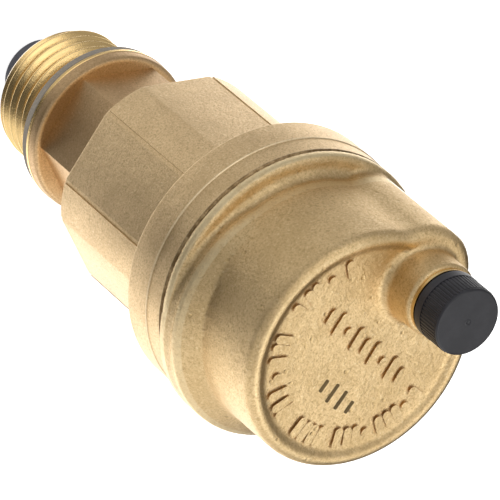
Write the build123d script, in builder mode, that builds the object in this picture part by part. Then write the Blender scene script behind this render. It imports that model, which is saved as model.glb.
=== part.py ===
from build123d import *
import os
from math import atan, cos, degrees, radians, sin

# Automatic air vent: a brass float chamber with an offset vent valve and cap on top, screwed into
# an inlet check valve with a G1/2 male thread. Sizes are in millimetres. Z runs up the main axis
# from the sealing plane of the inlet, and X runs from the main axis towards the offset vent.

os.makedirs("parts", exist_ok=True)

# ---- Driving dimensions -------------------------------------------------------------------------
FIT_GAP = 0.04           # radial clearance between pieces screwed or pressed together
RUNNING_GAP = 0.05       # radial clearance of a pin or spigot that turns or slides
MOTION_GAP = 0.35        # least gap between pieces that move past each other

# Inlet check valve
THREAD_R = 10.478        # G1/2 major radius
THREAD_LENGTH = 12.2
THREAD_LEAD = 2.3        # length of the cone at the thread's start
THREAD_START_R = 8.85    # radius that the cone starts from
RELIEF_R = 9.5
GASKET_R = 12.3
GASKET_THICK = 1.4
COLLAR_R = 12.5
COLLAR_TOP = 4.2
HEX_ACROSS_FLATS = 20.0
HEX_TOP = 18.7
CORNER_ANGLE = 12.0      # where one corner of the hexagons points, from X towards Y
VALVE_BORE_R = 7.6
SEAT_BASE = 3.0
SEAT_TOP = 5.0
SEAT_R = 5.2
SOCKET_R = 8.33          # socket that takes the chamber's tail

# Inlet guide and poppet
NOSE_R = 5.4             # tube that stands out of the thread's end
NOSE_END = -18.0
NOSE_WALL = 0.9
NOSE_ROUND = 0.6
GUIDE_PLUG_BASE = -11.6
GUIDE_PLUG_TOP = -7.6
GUIDE_HUB_R = 2.4
GUIDE_SPOKE = 1.4
POPPET_R = 6.6
POPPET_THICK = 1.6
POPPET_SEAL_THICK = 1.0
POPPET_PIN_R = 1.5
POPPET_PIN_END = -12.0
POPPET_FIN_R = 4.9
POPPET_FIN = 1.6

# Float chamber
TAIL_BASE = 7.2
TAIL_BORE_R = 4.0
BARREL_BASE = HEX_TOP
BARREL_R = 16.8
BARREL_FLAT_R = 15.8
BARREL_CHAMFER = 0.6
PAD_STEP = 0.15          # how far the corner pads stand proud of the turned barrel
PAD_WIDTH = 5.3
CHAMBER_R = 13.9
CHAMBER_FLOOR = 21.5
FLANGE_BASE = 43.6
FLANGE_X = 0.45          # the forged flange sits this far off the axis, towards the vent
FLANGE_R = 20.6
FLANGE_LINE = 48.9       # height of the fine line round the flange
PARTING = 52.5
SPIGOT_BORE_R = 16.3
SPIGOT_END = 46.5

# Cover
LEDGE_R = 20.45
LEDGE_TOP = 54.3
LEDGE_ROUND = 0.8
ROOT_R = 18.9            # where the hollow round over the ledge begins
ROOT_HEIGHT = 1.8
DOME_R = 17.9
DOME_RIM_R = 17.7
FACE = 71.8
RIM_ROUND = 1.5
DISH_R = 16.3
DISH_SLOPE = 1.3
DISH_DEPTH = 0.6
DOME_INNER_R = 15.3
CEILING = 69.3
LOBE_R = 8.4
LOBE_FLAT_X = 20.1
LOBE_INNER_R = 6.6
LOBE_FLOOR = 57.5
LOBE_BLEND = 6.0
SKIRT_X = -2.3
SKIRT_R = 18.7
SKIRT_SHOULDER = 56.6
SKIRT_TOP = 59.8

# Vent valve, all on the offset axis
VENT_X = 12.0
BOSS_R = 5.5
BOSS_ROOT = 1.2
BOSS_TOP = 76.8
NOZZLE_SHANK_R = 3.9
NOZZLE_STUB_R = 3.0
NOZZLE_END = 67.5
NOZZLE_HEAD_R = 4.95
NOZZLE_HEAD = 0.6
NOZZLE_SPIGOT_R = 2.9
NOZZLE_TOP = 81.3
VENT_BORE_R = 0.8
SEAT_INSERT_R = 2.0
SEAT_INSERT = 2.0

# Vent cap
CAP_R = 5.05
CAP_BASE = 77.8
CAP_TOP = 83.0
CAP_SKIRT = 1.3
CAP_RIBS = 60
CAP_RIB_DEPTH = 0.17
CAP_BORE_TOP = 81.9
CAP_SEAL_THICK = 0.5

# Float and lever
FLOAT_TRAVEL = 5.0
FLOAT_R = 13.2
FLOAT_BASE = 24.6
FLOAT_TOP = 47.0
FLOAT_WALL = 1.0
PIVOT_X = 15.0
PIVOT_Z = 63.2
PIN_R = 0.75
LEVER_THICK = 1.0
LEVER_WIDTH = 5.2
LEVER_NOSE = 1.5         # how far the lever runs past the float's hook
LEVER_HUB_R = 1.3
EAR_PLATE = 0.8
EAR_PLATE_Y = 3.3


def at_height(height, x=0.0):
    """Plane across the main axis, or across a parallel axis at x, at a height."""
    return Plane(origin=(x, 0, height), x_dir=(1, 0, 0), z_dir=(0, 0, 1))


def o_ring(centre_x, centre_z, ring_radius, section_radius):
    """Round-section sealing ring about a vertical axis."""
    with BuildPart() as ring:
        with BuildSketch(Plane(origin=(centre_x, 0, centre_z), x_dir=(1, 0, 0), z_dir=(0, -1, 0))):
            with Locations((ring_radius, 0)):
                Circle(section_radius)
        revolve(axis=Axis((centre_x, 0, centre_z), (0, 0, 1)))
    return ring


def coil_spring(centre_x, base, top, coil_radius, wire_radius, turns):
    """Compression spring whose wire's centre runs from base to top in a round coil."""
    with BuildPart() as spring:
        with BuildLine() as coil:
            Helix((top - base) / turns, top - base, coil_radius, center=(centre_x, 0, base))
        with BuildSketch(Plane(origin=coil.line @ 0, z_dir=coil.line % 0)):
            Circle(wire_radius)
        sweep(is_frenet=True)
    return spring


def turned_piece(centre_x, outline):
    """Solid of revolution about a vertical axis, from (radius, height) corners."""
    with BuildPart() as piece:
        with BuildSketch(Plane(origin=(centre_x, 0, 0), x_dir=(1, 0, 0), z_dir=(0, -1, 0))):
            with BuildLine():
                Polyline(*outline, close=True)
            make_face()
        revolve(axis=Axis((centre_x, 0, 0), (0, 0, 1)))
    return piece


# ---- Inlet check valve --------------------------------------------------------------------------
with BuildPart() as check_valve_body:
    with BuildSketch(Plane.XZ):
        with BuildLine():
            Polyline((0, -THREAD_LENGTH), (THREAD_START_R, -THREAD_LENGTH),
                     (THREAD_R, -THREAD_LENGTH + THREAD_LEAD), (THREAD_R, 0), (0, 0), close=True)
        make_face()
    revolve(axis=Axis.Z)
    with BuildSketch(at_height(0)):
        Circle(RELIEF_R)
    extrude(amount=GASKET_THICK)
    with BuildSketch(at_height(GASKET_THICK)):
        Circle(COLLAR_R)
    extrude(amount=COLLAR_TOP - GASKET_THICK)
    chamfer(check_valve_body.edges().group_by(Axis.Z)[-1], 0.3)
    with BuildSketch(at_height(COLLAR_TOP)):
        RegularPolygon(HEX_ACROSS_FLATS / 2, 6, major_radius=False, rotation=CORNER_ANGLE)
    extrude(amount=HEX_TOP - COLLAR_TOP)
    with BuildSketch(at_height(-THREAD_LENGTH)):
        Circle(VALVE_BORE_R)
    extrude(amount=THREAD_LENGTH + SEAT_BASE, mode=Mode.SUBTRACT)
    with BuildSketch(at_height(SEAT_BASE)):
        Circle(SEAT_R)
    extrude(amount=SEAT_TOP - SEAT_BASE, mode=Mode.SUBTRACT)
    with BuildSketch(at_height(SEAT_TOP)):
        Circle(SOCKET_R)
    extrude(amount=HEX_TOP - SEAT_TOP, mode=Mode.SUBTRACT)

with BuildPart() as inlet_gasket:
    with BuildSketch(at_height(0)):
        Circle(GASKET_R)
        Circle(RELIEF_R + FIT_GAP, mode=Mode.SUBTRACT)
    extrude(amount=GASKET_THICK)
    fillet(inlet_gasket.edges().filter_by(GeomType.CIRCLE).sort_by(SortBy.RADIUS)[-2:], 0.3)

with BuildPart() as check_valve_guide:
    with BuildSketch(at_height(NOSE_END)):
        Circle(NOSE_R)
    extrude(amount=GUIDE_PLUG_BASE - NOSE_END)
    fillet(check_valve_guide.edges().sort_by(Axis.Z)[0], NOSE_ROUND)
    with BuildSketch(at_height(GUIDE_PLUG_BASE)):
        Circle(VALVE_BORE_R - FIT_GAP)
    extrude(amount=GUIDE_PLUG_TOP - GUIDE_PLUG_BASE)
    with BuildSketch(at_height(NOSE_END)):
        Circle(NOSE_R - NOSE_WALL)
    extrude(amount=GUIDE_PLUG_TOP - NOSE_END, mode=Mode.SUBTRACT)
    # Hub that guides the poppet's pin, on three spokes
    with BuildSketch(at_height(GUIDE_PLUG_BASE)):
        Circle(GUIDE_HUB_R)
        with PolarLocations((POPPET_PIN_R + NOSE_R) / 2, 3, start_angle=CORNER_ANGLE):
            Rectangle(NOSE_R - POPPET_PIN_R, GUIDE_SPOKE)
    extrude(amount=GUIDE_PLUG_TOP - GUIDE_PLUG_BASE - 1.2)
    with BuildSketch(at_height(GUIDE_PLUG_BASE)):
        Circle(POPPET_PIN_R + RUNNING_GAP)
    extrude(amount=GUIDE_PLUG_TOP - GUIDE_PLUG_BASE, mode=Mode.SUBTRACT)

with BuildPart() as check_valve_poppet:
    with BuildSketch(at_height(-POPPET_THICK)):
        Circle(POPPET_R)
    extrude(amount=POPPET_THICK)
    with BuildSketch(at_height(0)):
        Rectangle(2 * POPPET_FIN_R, POPPET_FIN)
        Rectangle(POPPET_FIN, 2 * POPPET_FIN_R)
    extrude(amount=TAIL_BASE - MOTION_GAP)
    with BuildSketch(at_height(POPPET_PIN_END)):
        Circle(POPPET_PIN_R)
    extrude(amount=-POPPET_THICK - POPPET_PIN_END)

with BuildPart() as poppet_seal:
    with BuildSketch(at_height(0)):
        Circle(POPPET_R - 0.2)
        Circle(POPPET_FIN_R + 0.15, mode=Mode.SUBTRACT)
    extrude(amount=POPPET_SEAL_THICK)

SPRING_WIRE = 0.35
check_valve_spring = coil_spring(
    0, GUIDE_PLUG_TOP + SPRING_WIRE, -POPPET_THICK - SPRING_WIRE, VALVE_BORE_R - 1.3, SPRING_WIRE, 4)

# ---- Float chamber ------------------------------------------------------------------------------
flange_plane = Plane(origin=(FLANGE_X, 0, 0), x_dir=(1, 0, 0), z_dir=(0, -1, 0))
flange_axis = Axis((FLANGE_X, 0, 0), (0, 0, 1))
with BuildPart() as body_shell:
    with BuildSketch(at_height(BARREL_BASE)):
        Circle(BARREL_R - PAD_STEP)
        RegularPolygon(BARREL_FLAT_R, 6, major_radius=False, rotation=CORNER_ANGLE,
                       mode=Mode.INTERSECT)
    extrude(amount=FLANGE_BASE - BARREL_BASE)
    chamfer(body_shell.edges().group_by(Axis.Z)[0], BARREL_CHAMFER)
    # Raised pads down the six corners of the barrel
    with BuildSketch(at_height(BARREL_BASE + BARREL_CHAMFER)):
        with PolarLocations(BARREL_R - 1, 6, start_angle=CORNER_ANGLE):
            Rectangle(3, PAD_WIDTH)
        Circle(BARREL_R, mode=Mode.INTERSECT)
    extrude(amount=FLANGE_BASE - BARREL_BASE - BARREL_CHAMFER)
    with BuildSketch(flange_plane):
        with BuildLine():
            Polyline((0, FLANGE_BASE), (FLANGE_R - 0.5, FLANGE_BASE), (FLANGE_R, FLANGE_BASE + 0.5),
                     (FLANGE_R, FLANGE_LINE), (FLANGE_R - 0.12, FLANGE_LINE + 0.12),
                     (LEDGE_R, PARTING - 0.25), (LEDGE_R - 0.25, PARTING), (0, PARTING), close=True)
        make_face()
    revolve(axis=flange_axis)
    with BuildSketch(at_height(TAIL_BASE)):
        Circle(SOCKET_R - FIT_GAP)
    extrude(amount=BARREL_BASE - TAIL_BASE)
    chamfer(body_shell.edges().group_by(Axis.Z)[0], 0.6)
    with BuildSketch(at_height(TAIL_BASE)):
        Circle(TAIL_BORE_R)
    extrude(amount=CHAMBER_FLOOR - TAIL_BASE, mode=Mode.SUBTRACT)
    with BuildSketch(at_height(CHAMBER_FLOOR)):
        Circle(CHAMBER_R)
    extrude(amount=PARTING - CHAMBER_FLOOR, mode=Mode.SUBTRACT)
    with BuildSketch(at_height(SPIGOT_END - 0.4)):
        Circle(SPIGOT_BORE_R)
    extrude(amount=PARTING - SPIGOT_END + 0.4, mode=Mode.SUBTRACT)
    # Gland for the cover's sealing ring
    with BuildSketch(at_height(PARTING - 1.6)):
        Circle(SPIGOT_BORE_R + 1.8)
    extrude(amount=1.6, mode=Mode.SUBTRACT)
    # Groove for the tail's sealing ring
    with BuildSketch(at_height(BARREL_BASE - 3.6)):
        Circle(SOCKET_R)
        Circle(SOCKET_R - 1.5, mode=Mode.SUBTRACT)
    extrude(amount=1.9, mode=Mode.SUBTRACT)

joint_o_ring = o_ring(0, BARREL_BASE - 2.65, SOCKET_R - 0.8, 0.7)
cover_o_ring = o_ring(0, PARTING - 0.8, SPIGOT_BORE_R + 0.9, 0.75)

BAFFLE_THICK = 1.2
with BuildPart() as inlet_baffle:
    with BuildSketch(at_height(CHAMBER_FLOOR)):
        Circle(CHAMBER_R - 0.3)
        with PolarLocations(CHAMBER_R - 4.2, 10):
            Circle(1.8, mode=Mode.SUBTRACT)
        with PolarLocations(4.6, 6):
            Circle(1.4, mode=Mode.SUBTRACT)
    extrude(amount=BAFFLE_THICK)

# ---- Cover --------------------------------------------------------------------------------------
with BuildPart() as cover:
    # Dome and lobe share one outline, whose inner corners are blended
    with BuildSketch(at_height(PARTING)) as cover_outline:
        Circle(DOME_R)
        with Locations((VENT_X, 0)):
            Circle(LOBE_R)
        fillet(cover_outline.vertices().group_by(Axis.Y)[0]
               + cover_outline.vertices().group_by(Axis.Y)[-1], LOBE_BLEND)
    extrude(amount=FACE - PARTING, taper=degrees(atan((DOME_R - DOME_RIM_R) / (FACE - PARTING))))
    fillet(cover.edges().group_by(Axis.Z)[-1], RIM_ROUND)
    # Machined flat down the lobe's outermost side
    with BuildSketch(at_height(PARTING)):
        with Locations((LOBE_FLAT_X + 2, 0)):
            Rectangle(4, 2 * LOBE_R)
    extrude(amount=FACE - PARTING, mode=Mode.SUBTRACT)
    # Ledge that meets the chamber's flange, with the hollow round above it
    with BuildSketch(flange_plane):
        with BuildLine():
            Polyline((LEDGE_R - LEDGE_ROUND, LEDGE_TOP), (0, LEDGE_TOP), (0, PARTING),
                     (LEDGE_R - 0.25, PARTING), (LEDGE_R, PARTING + 0.25),
                     (LEDGE_R, LEDGE_TOP - LEDGE_ROUND))
            RadiusArc((LEDGE_R, LEDGE_TOP - LEDGE_ROUND), (LEDGE_R - LEDGE_ROUND, LEDGE_TOP),
                      -LEDGE_ROUND)
        make_face()
    revolve(axis=flange_axis)
    with BuildSketch(Plane.XZ):
        with BuildLine():
            RadiusArc((ROOT_R, LEDGE_TOP), (DOME_R - 0.15, LEDGE_TOP + ROOT_HEIGHT), ROOT_HEIGHT)
            Polyline((DOME_R - 0.15, LEDGE_TOP + ROOT_HEIGHT), (0, LEDGE_TOP + ROOT_HEIGHT),
                     (0, LEDGE_TOP), (ROOT_R, LEDGE_TOP))
        make_face()
    revolve(axis=Axis.Z)
    # Skirt opposite the lobe, off the main axis so that it fades into the ledge
    with BuildSketch(at_height(PARTING, SKIRT_X)):
        Circle(SKIRT_R)
    extrude(amount=SKIRT_SHOULDER - PARTING)
    with BuildSketch(at_height(SKIRT_SHOULDER, SKIRT_X)):
        Circle(SKIRT_R)
    with BuildSketch(at_height(SKIRT_TOP)):
        Circle(DOME_R - 0.3)
    loft()
    # Dished face with a sloping edge, which leaves a raised rim
    with BuildSketch(Plane.XZ):
        with BuildLine():
            Polyline((0, FACE - DISH_DEPTH), (DISH_R - DISH_SLOPE, FACE - DISH_DEPTH),
                     (DISH_R, FACE), (0, FACE), close=True)
        make_face()
    revolve(axis=Axis.Z, mode=Mode.SUBTRACT)
    # Boss that the vent nozzle screws into, with a round root
    with BuildSketch(Plane(origin=(VENT_X, 0, 0), x_dir=(1, 0, 0), z_dir=(0, -1, 0))):
        with BuildLine():
            Polyline((0, FACE - DISH_DEPTH), (0, BOSS_TOP), (BOSS_R - 0.3, BOSS_TOP),
                     (BOSS_R - 0.1, BOSS_TOP - 0.2),
                     (BOSS_R, FACE - DISH_DEPTH + BOSS_ROOT))
            RadiusArc((BOSS_R, FACE - DISH_DEPTH + BOSS_ROOT),
                      (BOSS_R + BOSS_ROOT, FACE - DISH_DEPTH), -BOSS_ROOT)
            Line((BOSS_R + BOSS_ROOT, FACE - DISH_DEPTH), (0, FACE - DISH_DEPTH))
        make_face()
    revolve(axis=Axis((VENT_X, 0, 0), (0, 0, 1)))
    # Spigot that screws into the chamber
    with BuildSketch(at_height(SPIGOT_END)):
        Circle(SPIGOT_BORE_R - FIT_GAP)
    extrude(amount=PARTING - SPIGOT_END)
    # Hollow inside
    with BuildSketch(at_height(SPIGOT_END)):
        Circle(CHAMBER_R)
    extrude(amount=LEDGE_TOP + 1 - SPIGOT_END, mode=Mode.SUBTRACT)
    with BuildSketch(at_height(LEDGE_TOP + 1)):
        Circle(DOME_INNER_R)
    extrude(amount=CEILING - LEDGE_TOP - 1, mode=Mode.SUBTRACT)
    with BuildSketch(at_height(LOBE_FLOOR, VENT_X)):
        Circle(LOBE_INNER_R)
    extrude(amount=CEILING - LOBE_FLOOR, mode=Mode.SUBTRACT)
    with BuildSketch(at_height(CEILING, VENT_X)):
        Circle(NOZZLE_SHANK_R + FIT_GAP)
    extrude(amount=BOSS_TOP - CEILING, mode=Mode.SUBTRACT)

# ---- Vent nozzle, seat and cap ------------------------------------------------------------------
GROOVE_Z = 74.6
GROOVE = 1.1
with BuildPart() as vent_nozzle:
    with BuildSketch(Plane(origin=(VENT_X, 0, 0), x_dir=(1, 0, 0), z_dir=(0, -1, 0))):
        with BuildLine():
            Polyline((VENT_BORE_R, NOZZLE_END + SEAT_INSERT), (SEAT_INSERT_R + FIT_GAP,
                     NOZZLE_END + SEAT_INSERT), (SEAT_INSERT_R + FIT_GAP, NOZZLE_END),
                     (NOZZLE_STUB_R, NOZZLE_END), (NOZZLE_STUB_R, CEILING),
                     (NOZZLE_SHANK_R, CEILING), (NOZZLE_SHANK_R, GROOVE_Z - GROOVE / 2),
                     (NOZZLE_SHANK_R - 0.8, GROOVE_Z - GROOVE / 2),
                     (NOZZLE_SHANK_R - 0.8, GROOVE_Z + GROOVE / 2),
                     (NOZZLE_SHANK_R, GROOVE_Z + GROOVE / 2), (NOZZLE_SHANK_R, BOSS_TOP),
                     (NOZZLE_HEAD_R, BOSS_TOP), (NOZZLE_HEAD_R, BOSS_TOP + NOZZLE_HEAD),
                     (NOZZLE_SPIGOT_R, BOSS_TOP + NOZZLE_HEAD), (NOZZLE_SPIGOT_R, NOZZLE_TOP - 0.3),
                     (NOZZLE_SPIGOT_R - 0.3, NOZZLE_TOP), (VENT_BORE_R, NOZZLE_TOP), close=True)
        make_face()
    revolve(axis=Axis((VENT_X, 0, 0), (0, 0, 1)))

nozzle_o_ring = o_ring(VENT_X, GROOVE_Z, NOZZLE_SHANK_R - 0.38, 0.4)

with BuildPart() as valve_seat:
    with BuildSketch(at_height(NOZZLE_END, VENT_X)):
        Circle(SEAT_INSERT_R)
        Circle(VENT_BORE_R, mode=Mode.SUBTRACT)
    extrude(amount=SEAT_INSERT)

with BuildPart() as vent_cap:
    with BuildSketch(at_height(CAP_BASE, VENT_X)):
        Circle(CAP_R)
    extrude(amount=CAP_SKIRT)
    with BuildSketch(at_height(CAP_BASE + CAP_SKIRT, VENT_X)):
        Circle(CAP_R - 0.05)
        with PolarLocations(CAP_R, CAP_RIBS):
            Circle(CAP_RIB_DEPTH, mode=Mode.SUBTRACT)
    extrude(amount=CAP_TOP - 0.45 - CAP_BASE - CAP_SKIRT)
    with BuildSketch(at_height(CAP_TOP - 0.45, VENT_X)):
        Circle(CAP_R - 0.12)
    extrude(amount=0.45)
    fillet(vent_cap.edges().group_by(Axis.Z)[-1], 0.3)
    with BuildSketch(at_height(CAP_BASE, VENT_X)):
        Circle(NOZZLE_SPIGOT_R + RUNNING_GAP)
    extrude(amount=CAP_BORE_TOP - CAP_BASE, mode=Mode.SUBTRACT)

with BuildPart() as cap_seal:
    with BuildSketch(at_height(NOZZLE_TOP + 0.05, VENT_X)):
        Circle(NOZZLE_SPIGOT_R - 0.35)
    extrude(amount=CAP_SEAL_THICK)

# ---- Float --------------------------------------------------------------------------------------
LID_THICK = 1.2
with BuildPart() as float_body:
    with BuildSketch(at_height(FLOAT_BASE)):
        Circle(FLOAT_R)
    extrude(amount=FLOAT_TOP - LID_THICK - FLOAT_BASE)
    fillet(float_body.edges().sort_by(Axis.Z)[0], 1.5)
    with BuildSketch(at_height(FLOAT_BASE + FLOAT_WALL)):
        Circle(FLOAT_R - FLOAT_WALL)
    extrude(amount=FLOAT_TOP - FLOAT_BASE, mode=Mode.SUBTRACT)

with BuildPart() as float_lid:
    with BuildSketch(at_height(FLOAT_TOP - LID_THICK)):
        Circle(FLOAT_R)
    extrude(amount=LID_THICK)
    fillet(float_lid.edges().sort_by(Axis.Z)[-1], 0.5)
    with BuildSketch(at_height(FLOAT_TOP - LID_THICK - 1.5)):
        Circle(FLOAT_R - FLOAT_WALL - FIT_GAP)
        Circle(FLOAT_R - 2 * FLOAT_WALL, mode=Mode.SUBTRACT)
    extrude(amount=1.5)

REST_TILT = degrees(FLOAT_TRAVEL / 2 / PIVOT_X)
NOSE_Z = PIVOT_Z - FLOAT_TRAVEL / 2
JAW_GAP = LEVER_THICK / 2 + 0.8
with BuildPart() as float_hook:
    with BuildSketch(at_height(FLOAT_TOP)):
        Circle(3.2)
    extrude(amount=1.2)
    with BuildSketch(at_height(FLOAT_TOP + 1.2)):
        Rectangle(2.4, 3.0)
    extrude(amount=NOSE_Z - JAW_GAP - 1.2 - FLOAT_TOP)
    # Yoke round the lever's nose
    with BuildSketch(Plane.XZ.offset(-1.5)):
        with Locations((-1.6, NOSE_Z)):
            Rectangle(5.6, 2 * (JAW_GAP + 1.1))
        with Locations((-0.2, NOSE_Z)):
            Rectangle(4.6, 2 * JAW_GAP, mode=Mode.SUBTRACT)
    extrude(amount=3.0)

# ---- Lever --------------------------------------------------------------------------------------
lever_plane = Plane(origin=(PIVOT_X, 0, PIVOT_Z), x_dir=(cos(radians(REST_TILT)), 0,
                    sin(radians(REST_TILT))), z_dir=(0, -1, 0))
SLOT_LENGTH = 2.6
SLOT_WIDTH = 2.1
with BuildPart() as lever:
    with BuildSketch(lever_plane.offset(-LEVER_WIDTH / 2)):
        with Locations((-(PIVOT_X + LEVER_NOSE) / 2, 0)):
            Rectangle(PIVOT_X + LEVER_NOSE, LEVER_THICK)
        with Locations((-PIVOT_X - LEVER_NOSE, 0)):
            Circle(LEVER_THICK / 2)
        Circle(LEVER_HUB_R)
        Circle(PIN_R + RUNNING_GAP, mode=Mode.SUBTRACT)
    extrude(amount=LEVER_WIDTH)
    # Slot round the plug's neck, and the narrow arm out to the float's hook
    arm_plane = Plane(origin=(PIVOT_X, 0, PIVOT_Z), x_dir=lever_plane.x_dir,
                      z_dir=(-lever_plane.x_dir.Z, 0, lever_plane.x_dir.X))
    with BuildSketch(arm_plane.offset(-2)):
        with Locations((VENT_X - PIVOT_X + 0.02, 0)):
            Rectangle(SLOT_LENGTH, SLOT_WIDTH)
        with Locations((-PIVOT_X + 2.5, LEVER_WIDTH / 2), (-PIVOT_X + 2.5, -LEVER_WIDTH / 2)):
            Rectangle(12, 2.2)
    extrude(amount=4, mode=Mode.SUBTRACT)

PIN_HALF = EAR_PLATE_Y + EAR_PLATE + 0.4
with BuildPart() as lever_pin:
    with BuildSketch(Plane(origin=(PIVOT_X, -PIN_HALF, PIVOT_Z), z_dir=(0, 1, 0))):
        Circle(PIN_R)
    extrude(amount=2 * PIN_HALF)

with BuildPart() as lever_bracket:
    with BuildSketch(at_height(CEILING - EAR_PLATE)):
        with Locations((VENT_X + 0.4, 0)):
            Rectangle(8.0, 2 * (EAR_PLATE_Y + EAR_PLATE))
        with Locations((VENT_X, 0)):
            Circle(NOZZLE_STUB_R + FIT_GAP, mode=Mode.SUBTRACT)
    extrude(amount=EAR_PLATE)
    for side in (-1, 1):
        with BuildSketch(Plane.XZ.offset(-side * EAR_PLATE_Y)):
            with Locations((PIVOT_X + 0.1, (PIVOT_Z - 1.4 + CEILING) / 2)):
                Rectangle(2.6, CEILING - PIVOT_Z + 1.4)
            with Locations((PIVOT_X, PIVOT_Z)):
                Circle(PIN_R + FIT_GAP, mode=Mode.SUBTRACT)
        extrude(amount=-side * EAR_PLATE)

with BuildPart() as bracket_ring:
    with BuildSketch(at_height(CEILING - 2 * EAR_PLATE, VENT_X)):
        Circle(NOZZLE_STUB_R + 0.7)
        Circle(NOZZLE_STUB_R + FIT_GAP, mode=Mode.SUBTRACT)
    extrude(amount=EAR_PLATE)

# ---- Vent valve plug ----------------------------------------------------------------------------
PLUG_TRAVEL = FLOAT_TRAVEL * (PIVOT_X - VENT_X) / PIVOT_X
PAD_TOP = NOZZLE_END - PLUG_TRAVEL - 0.1
LEVER_AT_PLUG = PIVOT_Z - PLUG_TRAVEL / 2
NECK_R = 0.7
BUTTON_R = 1.35
BUTTON_THICK = 0.8
SPRING_FLANGE_R = 2.6
SPRING_FLANGE = 0.6
FORK_GAP = 1.05          # from the lever's middle to the plug's faces above and below
PAD_THICK = 0.85
plug_pad_base = PAD_TOP - PAD_THICK
valve_plug = turned_piece(VENT_X, [
    (0, LEVER_AT_PLUG - FORK_GAP - BUTTON_THICK), (BUTTON_R, LEVER_AT_PLUG - FORK_GAP - BUTTON_THICK),
    (BUTTON_R, LEVER_AT_PLUG - FORK_GAP), (NECK_R, LEVER_AT_PLUG - FORK_GAP),
    (NECK_R, LEVER_AT_PLUG + FORK_GAP), (BUTTON_R, LEVER_AT_PLUG + FORK_GAP),
    (BUTTON_R, plug_pad_base - SPRING_FLANGE), (SPRING_FLANGE_R, plug_pad_base - SPRING_FLANGE),
    (SPRING_FLANGE_R, plug_pad_base), (0, plug_pad_base)])

with BuildPart() as plug_pad:
    with BuildSketch(at_height(plug_pad_base, VENT_X)):
        Circle(1.7)
    extrude(amount=PAD_TOP - plug_pad_base)

plug_spring = coil_spring(VENT_X, plug_pad_base + 0.16, NOZZLE_END - 0.18, 2.3, 0.15, 3)

# ---- Labels and files ---------------------------------------------------------------------------
pieces = {
    "check_valve_body": check_valve_body, "inlet_gasket": inlet_gasket,
    "check_valve_guide": check_valve_guide, "check_valve_poppet": check_valve_poppet,
    "poppet_seal": poppet_seal, "check_valve_spring": check_valve_spring,
    "joint_o_ring": joint_o_ring, "body_shell": body_shell, "inlet_baffle": inlet_baffle,
    "cover": cover, "cover_o_ring": cover_o_ring, "vent_nozzle": vent_nozzle,
    "nozzle_o_ring": nozzle_o_ring, "valve_seat": valve_seat, "vent_cap": vent_cap,
    "cap_seal": cap_seal, "float_body": float_body, "float_lid": float_lid,
    "float_hook": float_hook, "lever": lever, "lever_pin": lever_pin,
    "lever_bracket": lever_bracket, "bracket_ring": bracket_ring, "valve_plug": valve_plug,
    "plug_pad": plug_pad, "plug_spring": plug_spring,
}
for label, piece in pieces.items():
    piece.part.label = label
    export_step(piece.part, f"parts/{label}.step")
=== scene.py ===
"""Looks of a brass automatic air vent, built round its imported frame.

The vent stands on its inlet thread. Z runs up the main axis from the inlet's sealing plane and X
runs towards the offset vent cap. Sizes in the classes are millimetres, and each mesh is scaled to
metres when it is finished.
"""

import logging
import math
from dataclasses import dataclass, field
from enum import Enum
from typing import Iterable, Optional, Sequence

import bmesh
import bpy
from mathutils import Matrix, Vector


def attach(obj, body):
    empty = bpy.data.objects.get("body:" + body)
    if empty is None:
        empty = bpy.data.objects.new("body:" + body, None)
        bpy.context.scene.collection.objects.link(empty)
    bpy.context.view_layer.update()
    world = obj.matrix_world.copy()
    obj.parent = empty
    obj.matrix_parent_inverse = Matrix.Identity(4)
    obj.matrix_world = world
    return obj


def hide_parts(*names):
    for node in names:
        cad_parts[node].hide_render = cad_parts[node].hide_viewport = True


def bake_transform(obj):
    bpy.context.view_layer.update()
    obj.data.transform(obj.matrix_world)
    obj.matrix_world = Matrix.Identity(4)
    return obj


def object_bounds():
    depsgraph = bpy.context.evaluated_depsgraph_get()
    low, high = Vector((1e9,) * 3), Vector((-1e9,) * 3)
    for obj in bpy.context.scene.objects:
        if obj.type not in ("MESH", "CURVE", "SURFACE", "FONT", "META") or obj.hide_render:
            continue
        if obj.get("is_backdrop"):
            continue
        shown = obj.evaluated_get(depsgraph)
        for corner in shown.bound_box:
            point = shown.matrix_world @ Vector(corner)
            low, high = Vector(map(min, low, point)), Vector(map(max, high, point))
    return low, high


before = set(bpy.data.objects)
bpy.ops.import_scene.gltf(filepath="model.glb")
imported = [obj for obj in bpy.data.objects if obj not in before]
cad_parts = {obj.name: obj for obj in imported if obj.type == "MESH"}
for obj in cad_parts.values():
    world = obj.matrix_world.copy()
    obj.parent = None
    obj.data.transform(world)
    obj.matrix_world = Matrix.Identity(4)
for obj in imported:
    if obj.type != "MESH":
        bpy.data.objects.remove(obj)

MM = 0.001
MERGE_DISTANCE = 0.0005
FULL_TURN = 2 * math.pi
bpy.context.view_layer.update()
ROUND_MARKS = (0.02, 0.02, 1.0)     # stretch that makes noise into marks round the main axis
log = logging.getLogger("air_vent")

Colour = tuple[float, float, float]
Point = tuple[float, float]


class Body(Enum):
    """Rigid bodies of the frame that new pieces ride on."""

    HOUSING = "housing"
    CAP = "cap"
    POPPET = "check_poppet"
    PLUG = "plug"


# ---- Materials -----------------------------------------------------------------------------------


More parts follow.
